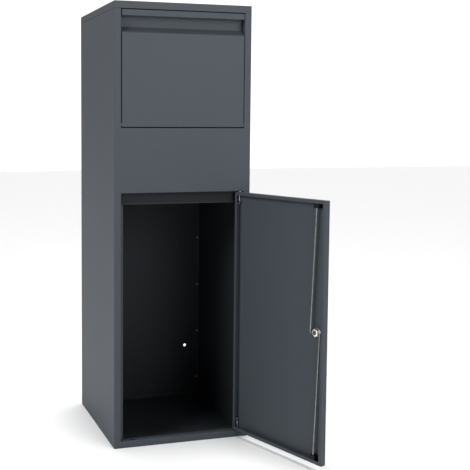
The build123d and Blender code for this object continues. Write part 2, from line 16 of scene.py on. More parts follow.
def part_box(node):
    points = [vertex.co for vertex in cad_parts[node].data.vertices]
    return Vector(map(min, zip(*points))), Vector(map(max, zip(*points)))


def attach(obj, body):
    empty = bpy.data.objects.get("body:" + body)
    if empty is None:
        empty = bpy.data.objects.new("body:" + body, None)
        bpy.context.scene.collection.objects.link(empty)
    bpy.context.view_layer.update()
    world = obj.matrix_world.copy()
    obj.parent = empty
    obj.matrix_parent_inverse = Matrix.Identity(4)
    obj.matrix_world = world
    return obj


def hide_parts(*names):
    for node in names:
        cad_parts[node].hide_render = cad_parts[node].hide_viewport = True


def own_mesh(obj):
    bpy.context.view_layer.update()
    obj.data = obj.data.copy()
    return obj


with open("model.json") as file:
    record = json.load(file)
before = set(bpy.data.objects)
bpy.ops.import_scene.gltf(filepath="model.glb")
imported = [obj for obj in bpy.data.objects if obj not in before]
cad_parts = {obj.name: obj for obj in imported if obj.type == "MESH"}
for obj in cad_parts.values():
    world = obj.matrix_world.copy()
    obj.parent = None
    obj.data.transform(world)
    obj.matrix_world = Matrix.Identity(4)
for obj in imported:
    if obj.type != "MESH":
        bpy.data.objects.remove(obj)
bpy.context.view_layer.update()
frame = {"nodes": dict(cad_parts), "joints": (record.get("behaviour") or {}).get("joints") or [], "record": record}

MM = 0.001
LOG = logging.getLogger("parcel_box")

Triple = tuple[float, float, float]
Span = tuple[float, float]
WHITE = (1.0, 1.0, 1.0, 1.0)
BLACK: Triple = (0.0, 0.0, 0.0)
MERGE_TURNED = 1e-7
MERGE_CAD = 1e-6
SMOOTH_BELOW = math.radians(35)
SOFT_SMOOTH_BELOW = math.radians(40)
FLAT_WITHIN = math.radians(1)
SHARP_ABOVE = 0.7
NUT_STEPS = 72
NUT_CHAMFER_SHARE = 0.985
NUT_SINK_SHARE = 0.06


def joint_named(name: str) -> dict[str, Any]:
    """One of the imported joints, by name."""
    return next(joint for joint in frame["joints"] if joint["name"] == name)


# ---- shader graph


class Signal:
    """A number that flows through a material, with ordinary arithmetic."""

    def __init__(self, graph: "Graph", socket: bpy.types.NodeSocket) -> None:
        """Wrap one output socket of a graph."""
        self.graph = graph
        self.socket = socket

    def _math(self, operation: str, *terms: Any) -> "Signal":
        """Add one Math node over the given terms."""
        settings = {"operation": operation}
        return self.graph.node("ShaderNodeMath", settings, dict(enumerate(terms)))

    def __add__(self, other: Any) -> "Signal":
        """Add."""
        return self._math("ADD", self, other)

    def __radd__(self, other: Any) -> "Signal":
        """Add, with the number first."""
        return self._math("ADD", other, self)

    def __sub__(self, other: Any) -> "Signal":
        """Subtract."""
        return self._math("SUBTRACT", self, other)

    def __rsub__(self, other: Any) -> "Signal":
        """Subtract this from a number."""
        return self._math("SUBTRACT", other, self)

    def __mul__(self, other: Any) -> "Signal":
        """Multiply."""
        return self._math("MULTIPLY", self, other)

    def __rmul__(self, other: Any) -> "Signal":
        """Multiply, with the number first."""
        return self._math("MULTIPLY", other, self)

    def __truediv__(self, other: Any) -> "Signal":
        """Divide."""
        return self._math("DIVIDE", self, other)

    def __rtruediv__(self, other: Any) -> "Signal":
        """Divide a number by this."""
        return self._math("DIVIDE", other, self)

    def size(self) -> "Signal":
        """Drop the sign."""
        return self._math("ABSOLUTE", self)

    def ramp(self, low: float, high: float) -> "Signal":
        """Turn a value into a mask.

        Args:
            low: the value where the mask starts.
            high: the value where the mask is full.

        Returns:
            A smooth mask from 0 to 1.
        """
        settings = {"interpolation_type": "SMOOTHSTEP"}
        values = {"Value": self, "From Min": low, "From Max": high}
        return self.graph.node("ShaderNodeMapRange", settings, values)


class Graph:
    """The node tree of one material."""

    def __init__(self, tree: bpy.types.NodeTree) -> None:
        """Start on an empty tree."""
        self.tree = tree
        tree.nodes.clear()

    def node(
        self,
        kind: str,
        settings: dict[str, Any] | None = None,
        values: dict[str | int, Any] | None = None,
        output: str | int = 0,
    ) -> Signal:
        """Add any node.

        Args:
            kind: the node's type name.
            settings: its own properties, which are set first.
            values: numbers, colours or signals for its input sockets.
            output: which output to hand back.

        Returns:
            The chosen output, as a signal.
        """
        made = self.tree.nodes.new(kind)
        for key, value in (settings or {}).items():
            setattr(made, key, value)
        for key, value in (values or {}).items():
            if isinstance(value, Signal):
                self.tree.links.new(value.socket, made.inputs[key])
            else:
                made.inputs[key].default_value = value
        return Signal(self, made.outputs[output] if made.outputs else None)

    def place(self) -> Signal:
        """The object's own coordinates, in metres."""
        return self.node("ShaderNodeTexCoord", output="Object")

    def stretched(self, scale: Triple) -> Signal:
        """The object's coordinates, stretched along each axis."""
        return self.node("ShaderNodeMapping", values={"Vector": self.place(), "Scale": scale})

    def noise(self, scale: float, detail: float = 2.0, where: Signal | None = None) -> Signal:
        """Soft noise, from 0 to 1, with a scale in cycles per metre."""
        values = {"Vector": where or self.place(), "Scale": scale, "Detail": detail}
        return self.node("ShaderNodeTexNoise", values=values)

    def axes(self, vector: Signal) -> list[Signal]:
        """The three parts of a vector."""
        apart = self.node("ShaderNodeSeparateXYZ", values={"Vector": vector})
        return [Signal(self, socket) for socket in apart.socket.node.outputs]

    def height(self) -> Signal:
        """The height above the floor, in metres."""
        return self.axes(self.place())[2]

    def tint(self, low: Triple, high: Triple, amount: Signal) -> Signal:
        """Mix two colours by a mask.

        Args:
            low: the colour where the mask is 0.
            high: the colour where it is 1.
            amount: the mask.

        Returns:
            The mixed colour.
        """
        settings = {"data_type": "RGBA"}
        values = {0: amount, 6: (*low, 1.0), 7: (*high, 1.0)}
        return self.node("ShaderNodeMix", settings, values, output=2)

    def blend(self, base: Signal, over: Triple, amount: Signal) -> Signal:
        """Lay a plain colour over another by a mask."""
        values = {0: amount, 6: base, 7: (*over, 1.0)}
        return self.node("ShaderNodeMix", {"data_type": "RGBA"}, values, output=2)

    def bump(self, height: Signal, strength: float, distance: float) -> Signal:
        """Turn a height into a surface normal."""
        values = {"Height": height, "Strength": strength, "Distance": distance}
        return self.node("ShaderNodeBump", values=values, output="Normal")

    def surface(self, values: dict[str, Any]) -> None:
        """Finish the tree with a principled shader."""
        shader = self.node("ShaderNodeBsdfPrincipled", values=values)
        self.node("ShaderNodeOutputMaterial", values={"Surface": shader})


def dimmed(colour: Triple, factor: float) -> Triple:
    """Scale a colour's brightness."""
    return tuple(channel * factor for channel in colour)


# ---- finishes


@dataclass(frozen=True)
class Finish:
    """What every finish shares: it makes a material and paints its node tree."""

    def build(self, name: str) -> bpy.types.Material:
        """Make the material.

        Args:
            name: the material's name.

        Returns:
            The material, with its node tree filled in.
        """
        material = bpy.data.materials.new(name)
        material.use_nodes = True
        self.paint(Graph(material.node_tree))
        return material

    def paint(self, graph: Graph) -> None:
        """Fill in the node tree."""
        raise NotImplementedError


@dataclass(frozen=True)
class PowderCoat(Finish):
    """Anthracite polyester powder coat: fine texture, low sheen, a little settled dust, and painted shade inside
    the box and on the head stop.
    """

    colour: Triple = (0.067, 0.077, 0.089)
    cloud: float = 0.07
    speck: float = 0.10
    roughness: float = 0.50
    peel_per_metre: float = 420.0
    grain_per_metre: float = 1500.0
    peel_depth: float = 0.00012
    dust_height: float = 0.09
    # Painted shade: the share of black mixed into the coat inside the box and on the head stop, where little light
    # reaches.
    painted_inner_shade: float = 0.45
    painted_lintel_shade: float = 0.78
    specular: float = 0.22
    cloud_per_metre: float = 2.2
    scuff_per_metre: float = 24.0
    scuff_stretch: Triple = (1.0, 1.0, 3.5)
    scuff_span: Span = (0.45, 0.7)
    dust_cover: float = 0.06
    dust_colour: Triple = (0.30, 0.29, 0.27)
    cloud_gloss: float = 0.08
    grain_gloss: float = 0.10
    peel_share: float = 0.7
    bump_strength: float = 0.35
    inner_width: Span = (0.1985, 0.1995)
    above_base: Span = (0.0006, 0.0014)
    behind_front: Span = (-0.19, -0.12)
    before_back: Span = (0.2120, 0.2130)
    head_foot: Span = (0.675, 0.69)
    head_top: Span = (0.7165, 0.7175)
    head_front: Span = (-0.197, -0.196)
    head_back: Span = (-0.190, -0.180)

    def paint(self, graph: Graph) -> None:
        """Paint the coat's colour, sheen and orange peel, and its painted shade."""
        cloud = graph.noise(self.cloud_per_metre, detail=3.0)
        grain = graph.noise(self.grain_per_metre)
        painted_shade = self._painted_shade(graph)
        peel = graph.noise(self.peel_per_metre)
        scuffed = graph.noise(self.scuff_per_metre, 6.0, graph.stretched(self.scuff_stretch))
        low_down = 1.0 - graph.height().ramp(0.0, self.dust_height)
        dust = low_down * scuffed.ramp(*self.scuff_span) * self.dust_cover
        tone = cloud * self.cloud + grain * self.speck
        mask = tone / (self.cloud + self.speck)
        darkest = dimmed(self.colour, 1 - self.speck)
        lightest = dimmed(self.colour, 1 + self.speck)
        # Painted shade: the coat is mixed towards black inside the box and on the head stop.
        coat_with_painted_shade = graph.blend(graph.tint(darkest, lightest, mask), BLACK, painted_shade)
        dusty = graph.blend(coat_with_painted_shade, self.dust_colour, dust)
        uneven = (cloud - 0.5) * self.cloud_gloss + (grain - 0.5) * self.grain_gloss
        texture = peel * self.peel_share + grain * (1.0 - self.peel_share)
        graph.surface(
            {
                "Base Color": dusty,
                "Roughness": self.roughness + uneven + dust,
                "Normal": graph.bump(texture, self.bump_strength, self.peel_depth),
                "Specular IOR Level": self.specular,
            }
        )

    def _painted_shade(self, graph: Graph) -> Signal:
        """How much painted shade darkens the coat within the panels and on the head stop.

        Args:
            graph: the coat's node tree.

        Returns:
            A mask over the box at rest. It has no upper limit, so it covers the roof's top too.
        """
        across, depth, rise = graph.axes(graph.place())
        within = 1.0 - across.size().ramp(*self.inner_width)
        within = within * rise.ramp(*self.above_base)
        deep = depth.ramp(*self.behind_front) * (1.0 - depth.ramp(*self.before_back))
        head = rise.ramp(*self.head_foot) * (1.0 - rise.ramp(*self.head_top))
        head = head * depth.ramp(*self.head_front) * (1.0 - depth.ramp(*self.head_back))
        # Painted shade: full share inside the box, the lintel share on the head stop in front of it.
        return within * (deep * self.painted_inner_shade + head * (1.0 - deep) * self.painted_lintel_shade)


@dataclass(frozen=True)
class Plated(Finish):
    """Bright or dull metal plating, with handling marks."""

    colour: Triple
    roughness: float
    streak: Triple
    stain: float = 0.12
    stain_per_metre: float = 90.0
    stain_span: Span = (0.35, 0.75)
    stain_dark: float = 1.6
    streaks_per_metre: float = 900.0
    streak_gloss: float = 0.16
    streak_share: float = 0.7
    fine_per_metre: float = 2600.0
    bump_strength: float = 0.25
    streak_depth: float = 0.00003

    def paint(self, graph: Graph) -> None:
        """Paint the plating, its streaks and its stains."""
        stain = graph.noise(self.stain_per_metre, detail=4.0).ramp(*self.stain_span)
        drawn = graph.noise(self.streaks_per_metre, 3.0, graph.stretched(self.streak))
        fine = graph.noise(self.fine_per_metre, detail=1.0)
        stained = dimmed(self.colour, 1 - self.stain * self.stain_dark)
        base = graph.tint(self.colour, stained, stain)
        rough = self.roughness + (drawn - 0.5) * self.streak_gloss + stain * self.stain
        texture = drawn * self.streak_share + fine * (1.0 - self.streak_share)
        graph.surface(
            {
                "Base Color": base,
                "Metallic": 1.0,
                "Roughness": rough,
                "Normal": graph.bump(texture, self.bump_strength, self.streak_depth),
            }
        )


@dataclass(frozen=True)
class Moulded(Finish):
    """Black moulded plastic or rubber, with a spark-eroded grain."""

    colour: Triple
    roughness: float
    grain_per_metre: float
    grain_depth: float
    cloud_per_metre: float = 60.0
    cloud_share: float = 0.6
    darkest: float = 0.8
    lightest: float = 1.3
    grain_gloss: float = 0.15
    specular: float = 0.25
    bump_strength: float = 0.4

    def paint(self, graph: Graph) -> None:
        """Paint the grained plastic or rubber."""
        grain = graph.noise(self.grain_per_metre, detail=3.0)
        cloud = graph.noise(self.cloud_per_metre)
        mask = cloud * self.cloud_share + grain * (1.0 - self.cloud_share)
        dark = dimmed(self.colour, self.darkest)
        base = graph.tint(dark, dimmed(self.colour, self.lightest), mask)
        graph.surface(
            {
                "Base Color": base,
                "Roughness": self.roughness + (grain - 0.5) * self.grain_gloss,
                "Specular IOR Level": self.specular,
                "Normal": graph.bump(grain, self.bump_strength, self.grain_depth),
            }
        )


@dataclass(frozen=True)
class StudioFloor(Finish):
    """A plain pale painted floor."""

    colour: Triple = (0.78, 0.78, 0.78)
    cloud_per_metre: float = 1.5
    cloud_dark: float = 0.99
    roughness: float = 0.9

    def paint(self, graph: Graph) -> None:
        """Paint the floor."""
        cloud = graph.noise(self.cloud_per_metre)
        base = graph.tint(dimmed(self.colour, self.cloud_dark), self.colour, cloud)
        graph.surface({"Base Color": base, "Roughness": self.roughness})


class Slot(Enum):
    """The record's material slots, each with its finish."""

    POWDER_COAT = "powder_coat"
    ZINC_ROD = "zinc_rod"
    CHROME_HARDWARE = "chrome_hardware"
    ZINC_HARDWARE = "zinc_hardware"
    BLACK_PLASTIC = "black_plastic"
    BLACK_RUBBER = "black_rubber"
    SPRING_STEEL = "spring_steel"
    BRASS_PLUG = "brass_plug"


FINISHES = {
    Slot.POWDER_COAT: PowderCoat(),
    Slot.ZINC_ROD: Plated((0.30, 0.31, 0.31), 0.40, (6.0, 6.0, 0.4)),
    Slot.CHROME_HARDWARE: Plated((0.80, 0.79, 0.77), 0.12, (1.0, 1.0, 1.0), 0.05),
    Slot.ZINC_HARDWARE: Plated((0.66, 0.67, 0.68), 0.28, (2.0, 2.0, 1.0)),
    Slot.BLACK_PLASTIC: Moulded((0.012, 0.012, 0.013), 0.48, 1800.0, 0.00008),
    Slot.BLACK_RUBBER: Moulded((0.018, 0.018, 0.018), 0.78, 900.0, 0.00012),
    Slot.SPRING_STEEL: Plated((0.40, 0.40, 0.41), 0.35, (1.0, 1.0, 1.0)),
    Slot.BRASS_PLUG: Plated((0.20, 0.13, 0.09), 0.25, (3.0, 3.0, 3.0)),
}


@dataclass
class Dresser:
    """Holds the built materials and puts them on CAD nodes and new pieces."""

    materials: dict[Slot, bpy.types.Material] = field(default_factory=dict)

    def __post_init__(self) -> None:
        """Build each finish once."""
        for slot, finish in FINISHES.items():
            self.materials[slot] = finish.build(slot.value)

    def dress_nodes(self) -> None:
        """Put each CAD node's finish on it, as the record's slots say."""
        for row in frame["record"]["subparts"]:
            node = frame["nodes"][row["node"]]
            node.data.materials.clear()
            node.data.materials.append(self.materials[Slot(row["material_slot"])])

    def piece(
        self, name: str, mesh: bpy.types.Mesh, slot: Slot, body: str, replaced: Sequence[str] = ()
    ) -> bpy.types.Object:
        """Add a finished piece to the scene.

        Args:
            name: the piece's name.
            mesh: its mesh, already in place, in metres.
            slot: the material slot that it takes its finish from.
            body: the CAD body that it rides on.
            replaced: the CAD nodes that it stands for.

        Returns:
            The new object.
        """
        made = bpy.data.objects.new(name, mesh)
        bpy.context.scene.collection.objects.link(made)
        mesh.materials.clear()
        mesh.materials.append(self.materials[slot])
        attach(made, body)
        if replaced:
            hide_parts(*replaced)
        LOG.info("%s: %d faces on %s", name, len(mesh.polygons), body)
        return made


# ---- mesh tools


def settled(soft: bmesh.types.BMesh, name: str, smooth_below: float) -> bpy.types.Mesh:
    """Turn a finished bmesh into a mesh.

    Args:
        soft: the bmesh, which is freed.
        name: the mesh's name.
        smooth_below: the angle between faces below which they shade as one.

    Returns:
        The mesh.
    """
    mesh = bpy.data.meshes.new(name)
    soft.to_mesh(mesh)
    soft.free()
    mesh.shade_smooth()
    mesh.set_sharp_from_angle(angle=smooth_below)
    return mesh


def box_of(spots: Sequence[Vector]) -> tuple[Vector, Vector]:
    """The lowest and highest corners of the box around some points."""
    low = Vector([min(spot[axis] for spot in spots) for axis in range(3)])
    return low, Vector([max(spot[axis] for spot in spots) for axis in range(3)])


def mesh_from(name: str, build: Callable[[bmesh.types.BMesh], None], place: Matrix) -> bpy.types.Mesh:
    """Build a mesh and put it in place.

    Args:
        name: the mesh's name.
        build: a function that fills an empty bmesh, in metres, about its own origin.
        place: where it goes.

    Returns:
        The mesh, with its doubles merged, faces turned outwards and smooth shading by angle.
    """
    soft = bmesh.new()
    build(soft)
    bmesh.ops.remove_doubles(soft, verts=soft.verts, dist=MERGE_TURNED)
    bmesh.ops.recalc_face_normals(soft, faces=soft.faces)
    bmesh.ops.transform(soft, matrix=place, verts=soft.verts)
    return settled(soft, name, SMOOTH_BELOW)


def add_lathe(
    soft: bmesh.types.BMesh, profile: Sequence[Span], steps: int, closed: bool = False
) -> None:
    """Turn a profile about Z.

    Args:
        soft: the bmesh that it is added to.
        profile: (radius, height) points, in metres, from one end to the other.
        steps: how many steps make the full turn.
        closed: whether the profile's last point joins its first, as in a ring.
    """
    rings = []
    for radius, height in profile:
        ring = []
        for step in range(steps):
            angle = step / steps * math.tau
            ring.append(soft.verts.new((radius * math.cos(angle), radius * math.sin(angle), height)))
        rings.append(ring)
    pairs = list(zip(rings, rings[1:]))
    if closed:
        pairs.append((rings[-1], rings[0]))
    for lower, upper in pairs:
        for step in range(steps):
            after = (step + 1) % steps
            soft.faces.new((lower[step], lower[after], upper[after], upper[step]))


def rounded_rim(radius: float, height: float, fillet: float, steps: int = 5) -> list[Span]:
    """Round the outer corner of a turned part.

    Args:
        radius: the part's outer radius.
        height: the height of its face.
        fillet: the corner's radius.
        steps: how many steps make the quarter turn.

    Returns:
        (radius, height) points from the part's side to its face.
    """
    points = []
    for step in range(steps + 1):
        angle = step / steps * math.pi / 2
        across = radius - fillet + fillet * math.cos(angle)
        points.append((across, height - fillet + fillet * math.sin(angle)))
    return points


def add_hex_nut(
    soft: bmesh.types.BMesh, flats: float, height: float, bore: float, chamfer_angle: float = 30.0
) -> None:
    """Add a nut about Z, from height 0, with chamfered corners and a countersunk bore.

    Args:
        soft: the bmesh that it is added to.
        flats: the distance between two opposite flats, in metres.
        height: the nut's height.
        bore: its hole's diameter.
        chamfer_angle: the slope of its corners, in degrees.
    """
    apothem = flats / 2
    chamfer_radius = apothem * NUT_CHAMFER_SHARE
    sink = bore * NUT_SINK_SHARE
    slope = math.tan(math.radians(chamfer_angle))
    rings: list[list[bmesh.types.BMVert]] = []
    for step in range(NUT_STEPS):
        angle = step / NUT_STEPS * math.tau
        off_flat = (angle + math.pi / 6) % (math.pi / 3) - math.pi / 6
        outer = apothem / math.cos(off_flat)
        drop = max(0.0, (outer - chamfer_radius) * slope)
        outline = [
            (bore / 2, sink),
            (bore / 2 + sink, 0.0),
            (chamfer_radius, 0.0),
            (outer, drop),
            (outer, height - drop),
            (chamfer_radius, height),
            (bore / 2 + sink, height),
            (bore / 2, height - sink),
        ]
        rings.append(
            [soft.verts.new((r * math.cos(angle), r * math.sin(angle), z)) for r, z in outline]
        )
    for step, ring in enumerate(rings):
        after = rings[(step + 1) % NUT_STEPS]
        for corner in range(len(ring)):
            following = (corner + 1) % len(ring)
            soft.faces.new((ring[corner], after[corner], after[following], ring[following]))


def loose_boxes(node: str) -> list[tuple[Vector, Vector]]:
    """The box of each separate part of a CAD node.

    Args:
        node: the node's name.

    Returns:
        The lowest and highest corner of each part, ordered by depth and then height.
    """
    soft = bmesh.new()
    soft.from_mesh(frame["nodes"][node].data)
    bmesh.ops.remove_doubles(soft, verts=soft.verts, dist=MERGE_CAD)
    left = set(soft.verts)
    boxes = []
    while left:
        reached = [left.pop()]
        for vertex in reached:
            for edge in vertex.link_edges:
                other = edge.other_vert(vertex)
                if other in left:
                    left.remove(other)
                    reached.append(other)
        boxes.append(box_of([vertex.co for vertex in reached]))
    soft.free()
    return sorted(boxes, key=lambda box: (round(box[0].y, 4), round(box[0].z, 4)))


def softened(name: str, node: str, width: float) -> bpy.types.Mesh:
    """Copy a CAD node's mesh and round its sharp edges, staying inside it.

    Args:
        name: the new mesh's name.
        node: the node's name.
        width: how wide the rounding is, in metres.

    Returns:
        The rounded mesh.
    """
    soft = bmesh.new()
    soft.from_mesh(frame["nodes"][node].data)
    bmesh.ops.remove_doubles(soft, verts=soft.verts, dist=MERGE_CAD)
    bmesh.ops.dissolve_limit(soft, angle_limit=FLAT_WITHIN, verts=soft.verts, edges=soft.edges)
    shared = [edge for edge in soft.edges if len(edge.link_faces) == 2]
    sharp = [edge for edge in shared if edge.calc_face_angle() > SHARP_ABOVE]
    shape = {"offset": width, "segments": 3, "profile": 0.5}
    bmesh.ops.bevel(soft, geom=sharp, affect="EDGES", clamp_overlap=True, **shape)
    bmesh.ops.recalc_face_normals(soft, faces=soft.faces)
    return settled(soft, name, SOFT_SMOOTH_BELOW)


def along_axis(origin: Vector, direction: Vector) -> Matrix:
    """A place whose Z runs along a direction."""
    turn = direction.to_track_quat("Z", "Y").to_matrix().to_4x4()
    return Matrix.Translation(origin) @ turn


# ---- geometry nodes


class NodeGroup:
    """A Geometry Nodes tree with named inputs, run on a scratch object."""

    def __init__(self, name: str, inputs: dict[str, tuple[str, Any]]) -> None:
        """Start a tree.

        Args:
            name: the tree's name.
            inputs: each input's socket type and value, by name.
        """
        self.tree = bpy.data.node_groups.new(name, "GeometryNodeTree")
        self.tree.interface.new_socket("Geometry", in_out="OUTPUT", socket_type="NodeSocketGeometry")
        self.values = {}
        for label, (kind, value) in inputs.items():
            socket = self.tree.interface.new_socket(label, in_out="INPUT", socket_type=kind)
            self.values[socket.identifier] = value
        self.entry = self.tree.nodes.new("NodeGroupInput")
        self.exit = self.tree.nodes.new("NodeGroupOutput")

    def node(
        self,
        kind: str,
        settings: dict[str, Any] | None = None,
        values: dict[str | int, Any] | None = None,
    ) -> bpy.types.Node:
        """Add a node, and link or set its inputs.

        Args:
            kind: the node's type name.
            settings: its own properties.
            values: numbers, vectors or other nodes' outputs for its input sockets.

        Returns:
            The new node.
        """
        made = self.tree.nodes.new(kind)
        for key, value in (settings or {}).items():
            setattr(made, key, value)
        for key, value in (values or {}).items():
            if isinstance(value, bpy.types.NodeSocket):
                self.tree.links.new(value, made.inputs[key])
            else:
                made.inputs[key].default_value = value
        return made

    def given(self, label: str) -> bpy.types.NodeSocket:
        """One of the tree's own inputs."""
        return self.entry.outputs[label]

    def finish(self, geometry: bpy.types.NodeSocket, material: bpy.types.Material) -> None:
        """End the tree by realising its instances and setting their material.

        Args:
            geometry: the finished geometry.
            material: what it is made of.
        """
        real = self.node("GeometryNodeRealizeInstances", values={"Geometry": geometry})
        dressed = self.node(
            "GeometryNodeSetMaterial",
            values={"Geometry": real.outputs[0], "Material": material},
        )
        self.tree.links.new(dressed.outputs[0], self.exit.inputs[0])

    def to_mesh(self, name: str) -> bpy.types.Mesh:
        """Run the tree.

        Args:
            name: the new mesh's name.

        Returns:
            A plain mesh, with no modifier left.
        """
        scratch = bpy.data.objects.new(name + "_scratch", bpy.data.meshes.new(name + "_scratch"))
        bpy.context.scene.collection.objects.link(scratch)
        modifier = scratch.modifiers.new(name, "NODES")
        modifier.node_group = self.tree
        for identifier, value in self.values.items():
            modifier[identifier] = value
        bpy.context.view_layer.update()
        evaluated = scratch.evaluated_get(bpy.context.evaluated_depsgraph_get())
        mesh = bpy.data.meshes.new_from_object(evaluated)
        mesh.name = name
        bpy.data.objects.remove(scratch)
        return mesh


@dataclass
class RivetRows:
    """Domed rivets set along straight rows, made by one Geometry Nodes tree for each row."""

    material: bpy.types.Material
    grip: float
    head_radius: float = 3.5 * MM
    head_height: float = 1.2 * MM
    tail_radius: float = 2.8 * MM
    shank_radius: float = 1.95 * MM
    shank_sides: int = 20
    dome_segments: int = 24
    dome_rings: int = 12

    def row(self, name: str, start: Vector, end: Vector, count: int, facing: Vector) -> bpy.types.Mesh:
        """Make one row.

        Args:
            name: the mesh's name.
            start: the first rivet's seat.
            end: the last rivet's seat.
            count: how many rivets.
            facing: the way that their heads point.

        Returns:
            The row's mesh, in place.
        """
        step = (end - start) / max(1, count - 1)
        turn = facing.to_track_quat("Z", "Y").to_euler()
        group = NodeGroup(
            name,
            {
                "Count": ("NodeSocketInt", count),
                "Start": ("NodeSocketVector", tuple(start)),
                "Step": ("NodeSocketVector", tuple(step)),
                "Turn": ("NodeSocketVector", tuple(turn)),
                "Head Radius": ("NodeSocketFloat", self.head_radius),
                "Head Height": ("NodeSocketFloat", self.head_height),
                "Tail Radius": ("NodeSocketFloat", self.tail_radius),
                "Shank Radius": ("NodeSocketFloat", self.shank_radius),
                "Grip": ("NodeSocketFloat", self.grip),
            },
        )
        line = group.node(
            "GeometryNodeMeshLine",
            {"mode": "OFFSET"},
            {
                "Count": group.given("Count"),
                "Start Location": group.given("Start"),
                "Offset": group.given("Step"),
            },
        )
        rivet = self._rivet(group)
        spots = {"Points": line.outputs[0], "Instance": rivet, "Rotation": group.given("Turn")}
        placed = group.node("GeometryNodeInstanceOnPoints", values=spots)
        group.finish(placed.outputs[0], self.material)
        return group.to_mesh(name)

    def _rivet(self, group: NodeGroup) -> bpy.types.NodeSocket:
        """Add one rivet to a tree.

        Args:
            group: the tree.

        Returns:
            The rivet: a domed head at height 0, a shank below it and a set tail.
        """
        times = {"operation": "MULTIPLY"}
        below = group.node("ShaderNodeMath", times, {0: group.given("Grip"), 1: -1.0})
        middle = group.node("ShaderNodeMath", times, {0: group.given("Grip"), 1: -0.5})
        head = self._dome(group, "Head Radius", None)
        tail = self._dome(group, "Tail Radius", below.outputs[0])
        shank = group.node(
            "GeometryNodeMeshCylinder",
            values={
                "Vertices": self.shank_sides,
                "Radius": group.given("Shank Radius"),
                "Depth": group.given("Grip"),
            },
        )
        sunk = group.node("ShaderNodeCombineXYZ", values={"Z": middle.outputs[0]})
        lowered = group.node(
            "GeometryNodeTransform",
            values={"Geometry": shank.outputs[0], "Translation": sunk.outputs[0]},
        )
        whole = group.node("GeometryNodeJoinGeometry")
        for part in (head, tail, lowered.outputs[0]):
            group.tree.links.new(part, whole.inputs[0])
        smooth = group.node("GeometryNodeSetShadeSmooth", values={"Geometry": whole.outputs[0]})
        return smooth.outputs[0]

    def _dome(
        self, group: NodeGroup, radius: str, height: bpy.types.NodeSocket | None
    ) -> bpy.types.NodeSocket:
        """Add a flattened ball.

        Args:
            group: the tree.
            radius: the name of the input that gives its radius.
            height: its height along the rivet, or None at the seat.

        Returns:
            The ball, in place.
        """
        ball = group.node(
            "GeometryNodeMeshUVSphere",
            values={"Segments": self.dome_segments, "Rings": self.dome_rings, "Radius": 1.0},
        )
        wide = group.given(radius)
        size = group.node(
            "ShaderNodeCombineXYZ", values={"X": wide, "Y": wide, "Z": group.given("Head Height")}
        )
        spot = group.node("ShaderNodeCombineXYZ", values={} if height is None else {"Z": height})
        values = {"Geometry": ball.outputs[0], "Scale": size.outputs[0], "Translation": spot.outputs[0]}
        return group.node("GeometryNodeTransform", values=values).outputs[0]


def joined(name: str, meshes: Sequence[bpy.types.Mesh]) -> bpy.types.Mesh:
    """Join several meshes.

    Args:
        name: the new mesh's name.
        meshes: the meshes, already in place.

    Returns:
        One mesh that holds them all.
    """
    soft = bmesh.new()
    for mesh in meshes:
        soft.from_mesh(mesh)
    whole = bpy.data.meshes.new(name)
    soft.to_mesh(whole)
    soft.free()
    return whole


@dataclass
class OpenDoor:
    """The door's own frame: closed in the front plane, and turned open at rest."""

    hinge: Vector = field(init=False)
    turned: Matrix = field(init=False)

    def __post_init__(self) -> None:
        """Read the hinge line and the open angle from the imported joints."""
        joint = joint_named("door_hinge")
        self.hinge = Vector(joint["pos_m"])
        angle = math.radians(-joint["range_deg"][0])
        about = Matrix.Translation(self.hinge)
        self.turned = about @ Matrix.Rotation(angle, 4, "Z") @ about.inverted()

    def closed_spots(self, node: str) -> list[Vector]:
        """The points of a door node, as if the door were closed."""
        back = self.turned.inverted()
        return [back @ vertex.co for vertex in frame["nodes"][node].data.vertices]

    def closed_box(self, node: str) -> tuple[Vector, Vector]:
        """The lowest and highest corners of a door node, as if the door were closed."""
        return box_of(self.closed_spots(node))


# ---- sub-assemblies


